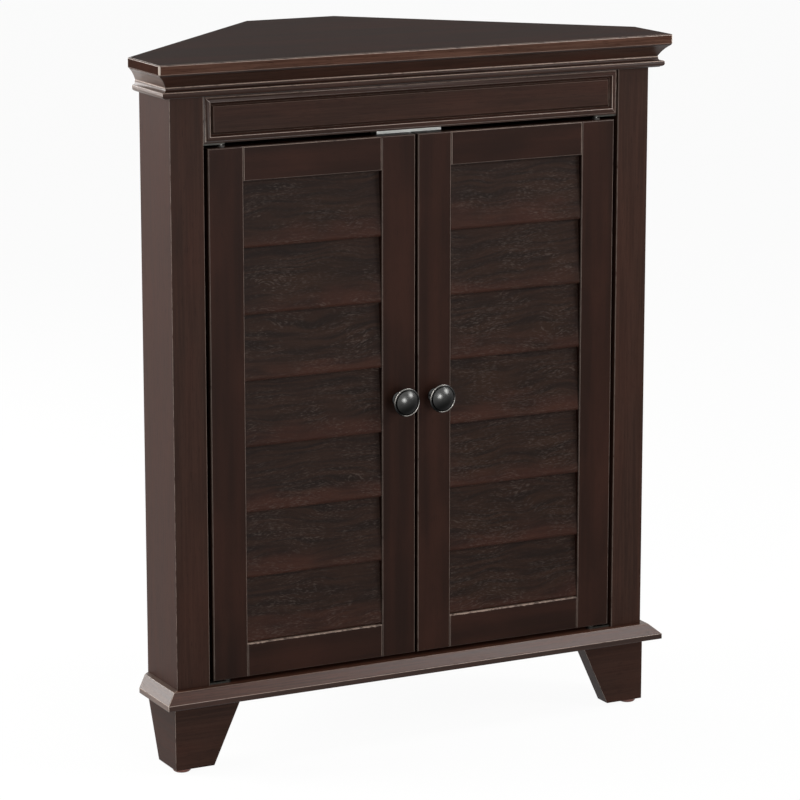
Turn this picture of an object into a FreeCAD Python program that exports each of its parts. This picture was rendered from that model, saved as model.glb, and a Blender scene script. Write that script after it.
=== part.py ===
import FreeCAD, Part
import math
import os

os.makedirs("parts", exist_ok=True)

# A corner cabinet. Millimetres, +Z is up, the doors face -Y and +X is to their right.
# The origin is on the floor, under the middle of the cabinet's bounding box.
# Both long back walls run at 45 degrees to the front, so that the cabinet fills a corner.

# The top, seen in plan
top_width = 732.0
top_side = 97.0
top_rear = 132.0
top_thickness = 13.4
top_corner = 3.0
top_ease = 1.2

# Levels, from the floor up
glide_height = 5.0
foot_height = 87.3
base_thickness = 19.7
case_height = 789.0
crown_height = 30.2
frieze_height = 60.5

# Case walls. The case stands back from the edge of the top.
overhang = 23.3
back_inset = 1.5
side_thickness = 20.0
back_thickness = 12.0
bottom_thickness = 12.0
post_width = 45.5
wall_ease = 0.8

# Crown moulding: reach from the case, and its outline in shares of reach and height
crown_reach = 21.8
crown_shares = [
    [(0, 0), (0.52, 0)],
    [(0.52, 0), (0.52, 0.03)],
    [(0.52, 0.03), (0.67, 0.065), (0.73, 0.16)],
    [(0.73, 0.16), (0.71, 0.265)],
    [(0.71, 0.265), (0.64, 0.285)],
    [(0.64, 0.285), (0.48, 0.31), (0.43, 0.39)],
    [(0.43, 0.39), (0.43, 0.445)],
    [(0.43, 0.445), (0.4, 0.455)],
    [(0.4, 0.455), (0.67, 0.755), (1, 0.975)],
    [(1, 0.975), (1, 1)],
    [(1, 1), (0, 1)],
    [(0, 1), (0, 0)],
]

# Base moulding: a flat ledge, a chamfer and a plain band, in shares of reach and thickness
base_reach = 21.8
base_inner = 56.0
base_seat = 40.0
ledge_share = 0.36
chamfer_foot_shares = (0.94, 0.41)
band_top_share = 0.36

# Bracket feet: two mitred boards each, with a glue block in the corner
foot_proud = 3.6
foot_board = 25.0
foot_front_top = 94.0
foot_front_bottom = 54.0
foot_side_bottom = 55.0
block_width = 22.0
block_height = 70.0
rear_foot_board = 25.0
rear_foot_bottom = 92.0
rear_glide_spacing = 62.0

# Glides: a plastic disc with a nail
glide_diameter = 23.0
glide_slope = 1.5
glide_inset = 14.5
nail_diameter = 3.0
nail_length = 16.0
nail_clearance = 0.1

# Frieze over the doors: a false drawer front in a rebated rail
frieze_reveal = 1.0
frieze_recess = 5.5
frieze_thickness = 12.0
rail_thickness = 28.0
bead_width = 11.0
bead_height = 6.0
bead_shares = [
    [(0, 0), (0, 0.5)],
    [(0, 0.5), (0.2, 0.55)],
    [(0.2, 0.55), (0.24, 0.75)],
    [(0.24, 0.75), (0.48, 0.95), (0.73, 1)],
    [(0.73, 1), (0.87, 0.66), (1, 0.3)],
    [(1, 0.3), (1, 0)],
    [(1, 0), (0, 0)],
]
field_gap = 1.2
field_height = 4.0
field_bevel = 1.5

# Doors
door_thickness = 20.0
door_side_gap = 5.7
door_top_gap = 6.3
door_bottom_gap = 5.0
door_meeting_gap = 4.0
stile_width = 48.0
rail_height = 44.0
door_ease = 1.0
tenon_length = 14.0
tenon_thickness = 7.0
tenon_shoulder = 6.0
tenon_clearance = 0.15

# Slats, lapped like shingles
slat_count = 7
slat_thickness = 7.0
slat_recess = 1.8
slat_nose = 4.5
slat_lap = 8.0
slat_gap = 0.3
slat_tongue = 6.0
slat_clearance = 0.2

# Pivot hinges: a plate with a pin on the case, and a bush let into the door
pivot_inset = 21.8
plate_width = 12.0
plate_thickness = 2.2
plate_end_gap = 0.5
pin_diameter = 4.0
pin_depth = 9.0
pin_round = 0.6
pin_clearance = 0.06
bush_diameter = 7.0
bush_depth = 10.0
flange_diameter = 10.5
running_gap = 0.3
seat_clearance = 0.05

# Knobs: a turned mushroom on a neck, its outline in shares of radius and projection.
# A raised ring runs round the rim, and inside it the face is part of a sphere.
knob_diameter = 37.0
knob_projection = 30.0
knob_height_share = 0.5
knob_shares = [
    (0, 0),
    (0.51, 0),
    (0.51, 0.06),
    (0.33, 0.18),
    (0.33, 0.42),
    (0.97, 0.67),
    (1, 0.7),
    (1, 0.76),
    (0.94, 0.81),
    (0.88, 0.81),
    (0.83, 0.79),
    (0, 0.79),
]
screw_diameter = 4.0
screw_reach = 14.0
screw_clearance = 0.2
screw_head_diameter = 9.0
screw_head_height = 2.6
screw_head_slope = 1.2

# Double magnetic catch under the frieze rail, and a steel strike on each door
catch_length = 94.0
catch_depth = 17.0
catch_height = 12.0
catch_ease = 1.5
magnet_length = 24.0
magnet_depth = 8.0
magnet_height = 6.0
magnet_end = 9.0
strike_overlap = 1.0
strike_height = 12.0
strike_thickness = 1.2
strike_drop = 2.0

# Adjustable shelf on four pins
shelf_thickness = 16.0
shelf_front_gap = 20.0
shelf_clearance = 1.5
shelf_height_share = 0.45
shelf_ease = 1.5
peg_diameter = 5.0
peg_depth = 8.0
peg_reach = 8.0
peg_clearance = 0.1
peg_pitch = 64.0
peg_holes_each_way = 1
side_peg_share = 0.62
wall_peg_offset = 95.0

# Battens that hold the top to the back walls
batten_length = 210.0
batten_width = 18.0

# Working values: how far cuts run past what they cut, and what counts as the same place
overrun = 5.0
same_place = 0.001

# Plan places
knob_reach = max(knob_projection - overhang, 0)
top_half = top_width / 2
rear_half = top_rear / 2
top_depth = top_side + top_half - rear_half
top_front = (knob_reach - top_depth) / 2
top_back = top_front + top_depth
wall_sum = top_half + top_front + top_side
case_half = top_half - overhang
case_front = top_front + overhang
case_back = top_back - back_inset
case_sum = wall_sum - back_inset * math.sqrt(2)
inner_sum = case_sum - back_thickness * math.sqrt(2)
inner_half = case_half - side_thickness
inner_front = case_front + side_thickness
inner_back = case_back - back_thickness
opening_half = case_half - post_width

# Levels
base_bottom = glide_height + foot_height
base_top = base_bottom + base_thickness
case_top = base_top + case_height
crown_bottom = case_top - crown_height
frieze_bottom = crown_bottom - frieze_height
door_bottom = base_top + door_bottom_gap
door_top = frieze_bottom - door_top_gap

# Places on the doors
door_back = case_front + door_thickness
door_middle = case_front + door_thickness / 2
door_inner = door_meeting_gap / 2
door_outer = opening_half - door_side_gap
inner_stile_edge = door_inner + stile_width
outer_stile_edge = door_outer - stile_width
slats_bottom = door_bottom + rail_height
slats_top = door_top - rail_height
slat_pitch = (slats_top - slats_bottom) / slat_count
slat_slope = (slat_thickness + slat_gap) / slat_pitch
pivot_x = door_outer - pivot_inset
knob_x = door_inner + stile_width / 2
knob_z = door_bottom + (door_top - door_bottom) * knob_height_share

# Shelf and pegs
shelf_bottom = base_top + (frieze_bottom - base_top) * shelf_height_share
peg_z = shelf_bottom - peg_diameter / 2


def save(name, solids):
    """Writes one named piece, or a group of like pieces."""
    shape = solids[0] if len(solids) == 1 else Part.makeCompound(solids)
    shape.exportStep("parts/" + name + ".step")


def mirrored(shape):
    """The left-hand twin of a right-hand piece."""
    return shape.mirror(FreeCAD.Vector(0, 0, 0), FreeCAD.Vector(1, 0, 0))


def save_pair(left_name, right_name, right_shape):
    save(right_name, [right_shape])
    save(left_name, [mirrored(right_shape)])


def box(x, y, z):
    """A block between two values on each axis."""
    corner = FreeCAD.Vector(x[0], y[0], z[0])
    return Part.makeBox(x[1] - x[0], y[1] - y[0], z[1] - z[0], corner)


def prism(plan, bottom, top):
    """A solid with the given plan, between two levels."""
    points = [FreeCAD.Vector(x, y, bottom) for x, y in plan + plan[:1]]
    return Part.Face(Part.makePolygon(points)).extrude(FreeCAD.Vector(0, 0, top - bottom))


def outline_face(runs, place):
    """A face bounded by lines of two points and arcs of three."""
    edges = []
    for run in runs:
        points = [place(*point) for point in run]
        curve = Part.LineSegment(*points) if len(points) == 2 else Part.Arc(*points)
        edges.append(curve.toShape())
    return Part.Face(Part.Wire(edges))


def lines(points):
    """Straight runs between points, closed."""
    return [list(pair) for pair in zip(points, points[1:] + points[:1])]


def edges_at(shape, place):
    """Edges whose ends all lie where place says."""
    return [edge for edge in shape.Edges if all(place(end.Point) for end in edge.Vertexes)]


def eased_box(x, y, z, ease):
    """A block with its four front arrises eased."""
    block = box(x, y, z)
    front = edges_at(block, lambda point: abs(point.y - y[0]) < same_place)
    return block.makeChamfer(ease, front)


def wall_y(x, line_sum):
    """Where a back wall's line stands at a distance x from the middle."""
    return line_sum - x


def make_top():
    plan = [
        (-top_half, top_front),
        (top_half, top_front),
        (top_half, wall_y(top_half, wall_sum)),
        (rear_half, top_back),
        (-rear_half, top_back),
        (-top_half, wall_y(top_half, wall_sum)),
    ]
    top_level = case_top + top_thickness
    slab = prism(plan, case_top, top_level)
    front = edges_at(slab, lambda point: abs(point.y - top_front) < same_place)
    slab = slab.makeFillet(top_corner, [edge for edge in front if edge.Length < top_half])
    upper = edges_at(slab, lambda point: abs(point.z - top_level) < same_place)
    lower = edges_at(slab, lambda point: abs(point.z - case_top) < same_place)
    save("top_panel", [slab.makeChamfer(top_ease, upper + lower)])


def front_run(runs, half, front):
    """A moulding's outline drawn out along the front."""
    start = half + overhang + overrun
    face = outline_face(runs, lambda t, z: FreeCAD.Vector(-start, front - t, z))
    return face.extrude(FreeCAD.Vector(2 * start, 0, 0))


def side_run(runs, half, front):
    """A moulding's outline drawn out along the right side."""
    start = front - overhang - overrun
    face = outline_face(runs, lambda t, z: FreeCAD.Vector(half + t, start, z))
    return face.extrude(FreeCAD.Vector(0, top_depth + overhang + overrun, 0))


def front_mitre(inner, outer, bottom, top):
    """The space of a front moulding, mitred at both ends."""
    plan = [
        (inner - case_half, case_front + inner),
        (case_half - inner, case_front + inner),
        (case_half + outer, case_front - outer),
        (-case_half - outer, case_front - outer),
    ]
    return prism(plan, bottom, top)


def side_mitre(inner, outer, bottom, top):
    """The space of a right-hand return, from its mitre to the wall."""
    inside = case_half - inner
    outside = case_half + outer
    plan = [
        (outside, case_front - outer),
        (outside, wall_y(outside, case_sum)),
        (inside, wall_y(inside, case_sum)),
        (inside, case_front + inner),
    ]
    return prism(plan, bottom, top)


def make_crown():
    runs = [[(t * crown_reach, crown_bottom + z * crown_height) for t, z in run] for run in crown_shares]
    levels = (crown_bottom - overrun, case_top + overrun)
    front = front_run(runs, case_half, case_front).common(front_mitre(0, overhang, *levels))
    right = side_run(runs, case_half, case_front).common(side_mitre(0, overhang, *levels))
    save("crown_front", [front])
    save_pair("crown_left", "crown_right", right)


def make_base():
    chamfer_out, chamfer_low = chamfer_foot_shares
    points = [
        (-base_inner, base_bottom),
        (base_reach, base_bottom),
        (base_reach, base_bottom + band_top_share * base_thickness),
        (chamfer_out * base_reach, base_bottom + chamfer_low * base_thickness),
        (ledge_share * base_reach, base_top),
        (-base_seat, base_top),
        (-base_seat, base_top - bottom_thickness),
        (-base_inner, base_top - bottom_thickness),
    ]
    levels = (base_bottom - overrun, base_top + overrun)
    runs = lines(points)
    front = front_run(runs, case_half, case_front).common(front_mitre(base_inner, overhang, *levels))
    right = side_run(runs, case_half, case_front).common(side_mitre(base_inner, overhang, *levels))
    save("base_front", [front])
    save_pair("base_left", "base_right", right)


def make_bottom():
    half = case_half - base_seat - seat_clearance
    front = case_front + base_seat + seat_clearance
    rear = case_sum - case_back
    plan = [
        (-half, front),
        (half, front),
        (half, wall_y(half, case_sum)),
        (rear, case_back),
        (-rear, case_back),
        (-half, wall_y(half, case_sum)),
    ]
    save("bottom_panel", [prism(plan, base_top - bottom_thickness, base_top)])


def peg_places():
    """Foot point and inward direction of the right-hand shelf pegs."""
    side_y = inner_front + (wall_y(inner_half, inner_sum) - inner_front) * side_peg_share
    slant = math.sqrt(2)
    middle_x = (inner_half + inner_sum - inner_back) / 2
    wall_x = middle_x - wall_peg_offset / slant
    return [
        (FreeCAD.Vector(inner_half, side_y, peg_z), FreeCAD.Vector(-1, 0, 0)),
        (FreeCAD.Vector(wall_x, wall_y(wall_x, inner_sum), peg_z), FreeCAD.Vector(-1 / slant, -1 / slant, 0)),
    ]


def peg_holes(place, direction):
    """A short column of holes, so that the shelf can be moved."""
    holes = []
    for step in range(-peg_holes_each_way, peg_holes_each_way + 1):
        mouth = place + direction * overrun + FreeCAD.Vector(0, 0, step * peg_pitch)
        radius = peg_diameter / 2 + peg_clearance
        depth = peg_depth + peg_clearance + overrun
        holes.append(Part.makeCylinder(radius, depth, mouth, direction * -1))
    return holes


def make_walls():
    side_place, wall_place = peg_places()
    post = prism(
        [
            (case_half, case_front),
            (inner_half, inner_front),
            (opening_half, inner_front),
            (opening_half, case_front),
        ],
        base_top,
        case_top,
    )
    arris = edges_at(post, lambda p: abs(p.x - opening_half) + abs(p.y - case_front) < same_place)
    save_pair("post_left", "post_right", post.makeChamfer(wall_ease, arris))

    side = prism(
        [
            (case_half, case_front),
            (case_half, wall_y(case_half, case_sum)),
            (inner_half, wall_y(inner_half, inner_sum)),
            (inner_half, inner_front),
        ],
        base_top,
        case_top,
    )
    save_pair("side_panel_left", "side_panel_right", side.cut(peg_holes(*side_place)))

    outer_rear = case_sum - case_back
    inner_rear = inner_sum - inner_back
    slanted = prism(
        [
            (case_half, wall_y(case_half, case_sum)),
            (outer_rear, case_back),
            (inner_rear, inner_back),
            (inner_half, wall_y(inner_half, inner_sum)),
        ],
        base_top,
        case_top,
    )
    save_pair("back_panel_left", "back_panel_right", slanted.cut(peg_holes(*wall_place)))

    rear = prism(
        [
            (-outer_rear, case_back),
            (outer_rear, case_back),
            (inner_rear, inner_back),
            (-inner_rear, inner_back),
        ],
        base_top,
        case_top,
    )
    save("back_panel_rear", [rear])


def make_shelf():
    half = inner_half - shelf_clearance
    limit = inner_sum - shelf_clearance * math.sqrt(2)
    front = door_back + shelf_front_gap
    back = inner_back - shelf_clearance
    plan = [
        (-half, front),
        (half, front),
        (half, wall_y(half, limit)),
        (limit - back, back),
        (back - limit, back),
        (-half, wall_y(half, limit)),
    ]
    board = prism(plan, shelf_bottom, shelf_bottom + shelf_thickness)
    nose = edges_at(board, lambda point: abs(point.y - front) < same_place)
    nose = [edge for edge in nose if edge.Length > 2 * shelf_thickness]
    save("shelf", [board.makeChamfer(shelf_ease, nose)])

    pegs = []
    for place, direction in peg_places():
        root = place - direction * peg_depth
        peg = Part.makeCylinder(peg_diameter / 2, peg_depth + peg_reach, root, direction)
        pegs += [peg, mirrored(peg)]
    save("shelf_pegs", pegs)


def make_battens():
    """A batten under the top along each slanted back wall."""
    slant = math.sqrt(2)
    middle_x = (inner_half + inner_sum - inner_back) / 2
    reach = batten_length / 2 / slant
    depth = batten_width / slant
    near = (middle_x + reach, wall_y(middle_x + reach, inner_sum))
    far = (middle_x - reach, wall_y(middle_x - reach, inner_sum))
    plan = [near, far, (far[0] - depth, far[1] - depth), (near[0] - depth, near[1] - depth)]
    batten = prism(plan, case_top - batten_width, case_top)
    save("top_battens", [batten, mirrored(batten)])


def make_frieze():
    board_back = case_front + frieze_thickness
    rail_back = board_back + rail_thickness
    rail = box((-opening_half, opening_half), (board_back, inner_front), (frieze_bottom, case_top))
    lip = box((-opening_half, opening_half), (case_front, board_back), (crown_bottom, case_top))
    tail = box((-inner_half, inner_half), (inner_front, rail_back), (frieze_bottom, case_top))
    save("frieze_rail", [rail.fuse([lip, tail]).removeSplitter()])

    half = opening_half - frieze_reveal
    low = frieze_bottom
    high = crown_bottom - frieze_reveal
    face = case_front + frieze_recess
    board = box((-half, half), (face, board_back), (low, high))
    edge = bead_width + field_gap
    field_x = (edge - half, half - edge)
    field_z = (low + edge, high - edge)
    field = eased_box(field_x, (face - field_height, face), field_z, field_bevel)
    save("frieze_board", [board.fuse(field).removeSplitter()])

    runs = [[(w * bead_width, d * bead_height) for w, d in run] for run in bead_shares]
    front = face - bead_height - overrun
    places = [
        (lambda w, d: FreeCAD.Vector(-half, face - d, low + w), FreeCAD.Vector(2 * half, 0, 0)),
        (lambda w, d: FreeCAD.Vector(-half, face - d, high - w), FreeCAD.Vector(2 * half, 0, 0)),
        (lambda w, d: FreeCAD.Vector(w - half, face - d, low), FreeCAD.Vector(0, 0, high - low)),
        (lambda w, d: FreeCAD.Vector(half - w, face - d, low), FreeCAD.Vector(0, 0, high - low)),
    ]
    corners = [(-half, low), (half, low), (half, high), (-half, high)]
    inner = [
        (bead_width - half, low + bead_width),
        (half - bead_width, low + bead_width),
        (half - bead_width, high - bead_width),
        (bead_width - half, high - bead_width),
    ]
    quads = [
        [corners[0], corners[1], inner[1], inner[0]],
        [corners[3], corners[2], inner[2], inner[3]],
        [corners[0], corners[3], inner[3], inner[0]],
        [corners[1], corners[2], inner[2], inner[1]],
    ]
    beads = []
    for (place, direction), quad in zip(places, quads):
        run = outline_face(runs, place).extrude(direction)
        points = [FreeCAD.Vector(x, front, z) for x, z in quad + quad[:1]]
        space = Part.Face(Part.makePolygon(points)).extrude(FreeCAD.Vector(0, board_back - front, 0))
        beads.append(run.common(space).Solids[0])
    save("frieze_beads", beads)


def nail_hole(x, y):
    radius = nail_diameter / 2 + nail_clearance
    depth = nail_length + nail_clearance
    start = FreeCAD.Vector(x, y, glide_height - overrun)
    return Part.makeCylinder(radius, depth + overrun, start)


def make_feet():
    outer_x = case_half + foot_proud
    outer_y = case_front
    glide_x = outer_x - glide_inset
    glide_y = outer_y + glide_inset
    hole = nail_hole(glide_x, glide_y)

    front_points = [
        (outer_x - foot_front_top, base_bottom),
        (outer_x, base_bottom),
        (outer_x, glide_height),
        (outer_x - foot_front_bottom, glide_height),
    ]
    front_face = outline_face(lines(front_points), lambda x, z: FreeCAD.Vector(x, outer_y, z))
    front = front_face.extrude(FreeCAD.Vector(0, foot_board, 0))

    side_top = wall_y(outer_x, case_sum)
    side_points = [
        (outer_y, base_bottom),
        (side_top, base_bottom),
        (outer_y + foot_side_bottom, glide_height),
        (outer_y, glide_height),
    ]
    side_face = outline_face(lines(side_points), lambda y, z: FreeCAD.Vector(outer_x - foot_board, y, z))
    side = side_face.extrude(FreeCAD.Vector(foot_board, 0, 0))

    reach = foot_board + overrun
    half_corner = prism(
        [
            (outer_x + overrun, outer_y - overrun),
            (outer_x - reach, outer_y + reach),
            (outer_x + overrun, outer_y + reach),
        ],
        glide_height - overrun,
        base_bottom + overrun,
    )
    front = front.cut([half_corner, hole])
    side = side.cut(hole)
    other_half = prism(
        [
            (outer_x + overrun, outer_y - overrun),
            (outer_x - reach, outer_y + reach),
            (outer_x - reach, outer_y - overrun),
        ],
        glide_height - overrun,
        base_bottom + overrun,
    )
    side = side.cut(other_half)
    save_pair("foot_front_left", "foot_front_right", front)
    save_pair("foot_side_left", "foot_side_right", side)

    inner_x = outer_x - foot_board
    inner_y = outer_y + foot_board
    block_x = (inner_x - block_width, inner_x)
    block_y = (inner_y, inner_y + block_width)
    block = box(block_x, block_y, (base_bottom - block_height, base_bottom))
    save("foot_blocks", [block, mirrored(block)])

    rear = case_sum - case_back
    rear_points = [
        (-rear, base_top - bottom_thickness),
        (rear, base_top - bottom_thickness),
        (rear_foot_bottom / 2, glide_height),
        (-rear_foot_bottom / 2, glide_height),
    ]
    rear_front = case_back - rear_foot_board
    rear_face = outline_face(lines(rear_points), lambda x, z: FreeCAD.Vector(x, rear_front, z))
    rear_foot = rear_face.extrude(FreeCAD.Vector(0, rear_foot_board, 0))
    rear_x = rear_glide_spacing / 2
    rear_y = case_back - rear_foot_board / 2
    holes = [nail_hole(rear_x, rear_y), nail_hole(-rear_x, rear_y)]
    save("foot_rear", [rear_foot.cut(holes)])

    glides = []
    for x, y in [(glide_x, glide_y), (-glide_x, glide_y), (rear_x, rear_y), (-rear_x, rear_y)]:
        disc = Part.makeCylinder(glide_diameter / 2, glide_height, FreeCAD.Vector(x, y, 0))
        rim = edges_at(disc, lambda point: abs(point.z) < same_place)
        rim = [edge for edge in rim if edge.Length > glide_diameter]
        disc = disc.makeChamfer(glide_slope, rim)
        nail = Part.makeCylinder(nail_diameter / 2, nail_length, FreeCAD.Vector(x, y, glide_height))
        glides.append(disc.fuse(nail).removeSplitter())
    save("glides", glides)


def slat_face(low, grow, x):
    """A slat's section: a round lower nose, leaning back to lie behind the slat above."""
    length = slat_pitch + slat_lap
    front = case_front + slat_recess - grow
    back = case_front + slat_recess + slat_thickness + grow
    bottom = low - grow
    top = low + length + grow
    lean = slat_slope * length
    nose = slat_nose + grow
    bend = nose * (1 - math.sqrt(0.5))
    runs = [
        [(front + nose, bottom), (front + bend, bottom + bend), (front, bottom + nose)],
        [(front, bottom + nose), (front + lean, top)],
        [(front + lean, top), (back + lean, top)],
        [(back + lean, top), (back, bottom)],
        [(back, bottom), (front + nose, bottom)],
    ]
    return outline_face(runs, lambda y, z: FreeCAD.Vector(x, y, z))


def slat_lows():
    return [slats_bottom + step * slat_pitch for step in range(slat_count)]


def housings(x_from, x_to):
    """Grooves in a stile's edge that the ends of the slats fit."""
    length = FreeCAD.Vector(x_to - x_from, 0, 0)
    return [slat_face(low, slat_clearance, x_from).extrude(length) for low in slat_lows()]


def tenon(x, low, high, grow):
    """A rail's tenon, or with some growth the mortise that takes it."""
    thick = tenon_thickness / 2 + grow
    return box(
        x,
        (door_middle - thick, door_middle + thick),
        (low + tenon_shoulder - grow, high - tenon_shoulder + grow),
    )


def mortises(x):
    """Both mortises of a stile, top and bottom."""
    return [
        tenon(x, door_bottom, slats_bottom, tenon_clearance),
        tenon(x, slats_top, door_top, tenon_clearance),
    ]


def bush_hole(z, up):
    radius = bush_diameter / 2 + seat_clearance
    start = FreeCAD.Vector(pivot_x, door_middle, z - up * overrun)
    return Part.makeCylinder(radius, bush_depth + seat_clearance + overrun, start, FreeCAD.Vector(0, 0, up))


def make_door_frame():
    y = (case_front, door_back)
    z = (door_bottom, door_top)
    mortise_depth = tenon_length + tenon_clearance
    housing_depth = slat_tongue + slat_clearance

    hinge_stile = eased_box((outer_stile_edge, door_outer), y, z, door_ease)
    cuts = mortises((outer_stile_edge - overrun, outer_stile_edge + mortise_depth))
    cuts += housings(outer_stile_edge - overrun, outer_stile_edge + housing_depth)
    cuts += [bush_hole(door_bottom, 1), bush_hole(door_top, -1)]
    save_pair("left_door_hinge_stile", "right_door_hinge_stile", hinge_stile.cut(cuts))

    knob_stile = eased_box((door_inner, inner_stile_edge), y, z, door_ease)
    cuts = mortises((inner_stile_edge - mortise_depth, inner_stile_edge + overrun))
    cuts += housings(inner_stile_edge - housing_depth, inner_stile_edge + overrun)
    hole_start = FreeCAD.Vector(knob_x, case_front - overrun, knob_z)
    hole_length = door_thickness + 2 * overrun
    hole_radius = screw_diameter / 2 + screw_clearance
    cuts.append(Part.makeCylinder(hole_radius, hole_length, hole_start, FreeCAD.Vector(0, 1, 0)))
    save_pair("left_door_knob_stile", "right_door_knob_stile", knob_stile.cut(cuts))

    x = (inner_stile_edge, outer_stile_edge)
    tenon_x = (inner_stile_edge - tenon_length, outer_stile_edge + tenon_length)
    bottom_rail = eased_box(x, y, (door_bottom, slats_bottom), door_ease)
    bottom_rail = bottom_rail.fuse(tenon(tenon_x, door_bottom, slats_bottom, 0)).removeSplitter()
    save_pair("left_door_bottom_rail", "right_door_bottom_rail", bottom_rail)

    top_rail = eased_box(x, y, (slats_top, door_top), door_ease)
    top_rail = top_rail.fuse(tenon(tenon_x, slats_top, door_top, 0)).removeSplitter()
    rebate = box(
        (tenon_x[0] - overrun, tenon_x[1] + overrun),
        (case_front + slat_recess + slat_thickness, door_back + overrun),
        (slats_top - overrun, slats_top + slat_lap + slat_gap),
    )
    save_pair("left_door_top_rail", "right_door_top_rail", top_rail.cut(rebate))


def make_slats():
    start = inner_stile_edge - slat_tongue
    length = FreeCAD.Vector(outer_stile_edge + slat_tongue - start, 0, 0)
    for number, low in enumerate(slat_lows(), 1):
        slat = slat_face(low, 0, start).extrude(length)
        name = "door_slat_" + str(number)
        save_pair("left_" + name, "right_" + name, slat)


def knob_dome(outward):
    """The slice of a ball that stands on the knob's face inside the raised ring."""
    radius_share, depth_share = knob_shares[-2]
    rim_radius = radius_share * knob_diameter / 2
    rim_depth = depth_share * knob_projection
    rise = knob_projection - rim_depth
    ball_radius = (rim_radius ** 2 + rise ** 2) / (2 * rise)
    middle_y = case_front - knob_projection + ball_radius
    ball = Part.makeSphere(ball_radius, FreeCAD.Vector(knob_x, middle_y, knob_z))
    foot = FreeCAD.Vector(knob_x, case_front - rim_depth, knob_z)
    return ball.common(Part.makeCylinder(ball_radius, knob_projection, foot, outward))


def make_knob():
    radius = knob_diameter / 2
    outward = FreeCAD.Vector(0, -1, 0)
    points = [(r * radius, d * knob_projection) for r, d in knob_shares]
    face = outline_face(lines(points), lambda r, d: FreeCAD.Vector(knob_x + r, case_front - d, knob_z))
    axis_point = FreeCAD.Vector(knob_x, case_front, knob_z)
    knob = face.revolve(axis_point, outward, 360).fuse(knob_dome(outward)).removeSplitter()
    bore_start = FreeCAD.Vector(knob_x, case_front + overrun, knob_z)
    bore_length = overrun + screw_reach + running_gap
    bore = Part.makeCylinder(screw_diameter / 2 + seat_clearance, bore_length, bore_start, outward)
    save_pair("left_door_knob", "right_door_knob", knob.cut(bore))

    shank = screw_diameter / 2
    head = screw_head_diameter / 2
    tip = door_thickness + screw_reach
    screw_points = [
        (0, -screw_head_height),
        (head - screw_head_slope, -screw_head_height),
        (head, screw_head_slope - screw_head_height),
        (head, 0),
        (shank, 0),
        (shank, tip),
        (0, tip),
    ]
    face = outline_face(lines(screw_points), lambda r, d: FreeCAD.Vector(knob_x + r, door_back - d, knob_z))
    axis_point = FreeCAD.Vector(knob_x, door_back, knob_z)
    save_pair("left_door_knob_screw", "right_door_knob_screw", face.revolve(axis_point, outward, 360))


def hinge_plate(level, up):
    """A plate on the case, with a pin that stands up or hangs down into the door."""
    inner = pivot_x
    outer = opening_half - plate_end_gap
    half = plate_width / 2
    low = min(level, level + up * plate_thickness)
    bar = box((inner, outer), (door_middle - half, door_middle + half), (low, low + plate_thickness))
    end = Part.makeCylinder(half, plate_thickness, FreeCAD.Vector(inner, door_middle, low))
    gap = door_bottom_gap if up > 0 else door_top_gap
    start = FreeCAD.Vector(pivot_x, door_middle, level)
    pin = Part.makeCylinder(pin_diameter / 2, gap + pin_depth, start, FreeCAD.Vector(0, 0, up))
    tip_z = level + up * (gap + pin_depth)
    tip = edges_at(pin, lambda point: abs(point.z - tip_z) < same_place)
    tip = [edge for edge in tip if edge.Length > pin_diameter]
    pin = pin.makeChamfer(pin_round, tip)
    return bar.fuse([end, pin]).removeSplitter()


def bush(level, up):
    """A flanged bush in the edge of the door, bored for the pin."""
    direction = FreeCAD.Vector(0, 0, up)
    flange_height = door_bottom_gap - plate_thickness - running_gap
    seat = FreeCAD.Vector(pivot_x, door_middle, level)
    flange = Part.makeCylinder(flange_diameter / 2, flange_height, seat, direction * -1)
    sleeve = Part.makeCylinder(bush_diameter / 2, bush_depth, seat, direction)
    bore_start = seat - direction * (flange_height + overrun)
    bore_length = flange_height + 2 * overrun + bush_depth
    bore = Part.makeCylinder(pin_diameter / 2 + pin_clearance, bore_length, bore_start, direction)
    return flange.fuse(sleeve).removeSplitter().cut(bore)


def make_hinges():
    plates = [hinge_plate(base_top, 1), hinge_plate(frieze_bottom, -1)]
    save("hinge_plates", plates + [mirrored(plate) for plate in plates])
    bushes = [bush(door_bottom, 1), bush(door_top, -1)]
    save("right_door_hinge_bushes", bushes)
    save("left_door_hinge_bushes", [mirrored(piece) for piece in bushes])


def make_catch():
    half = catch_length / 2
    front = door_back + strike_thickness + running_gap
    low = frieze_bottom - catch_height
    body = box((-half, half), (front, front + catch_depth), (low, frieze_bottom))
    upright = edges_at(body, lambda point: abs(abs(point.x) - half) < same_place)
    upright = [edge for edge in upright if abs(edge.Length - catch_height) < same_place]
    body = body.makeFillet(catch_ease, upright)
    middle = (low + frieze_bottom) / 2
    magnet_x = (half - magnet_end - magnet_length, half - magnet_end)
    level = (middle - magnet_height / 2, middle + magnet_height / 2)
    magnet = box(magnet_x, (front, front + magnet_depth), level)
    magnets = [magnet, mirrored(magnet)]
    save("magnetic_catch", [body.cut(magnets)] + magnets)

    x = (magnet_x[0] - strike_overlap, magnet_x[1] + strike_overlap)
    high = door_top - strike_drop
    strike = box(x, (door_back, door_back + strike_thickness), (high - strike_height, high))
    save_pair("left_door_strike", "right_door_strike", strike)


make_top()
make_crown()
make_walls()
make_battens()
make_frieze()
make_base()
make_bottom()
make_feet()
make_shelf()
make_door_frame()
make_slats()
make_knob()
make_hinges()
make_catch()
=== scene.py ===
import math

import bmesh
import bpy
from bpy.props import FloatProperty, FloatVectorProperty, IntProperty, PointerProperty
from mathutils import Matrix, Vector


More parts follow.
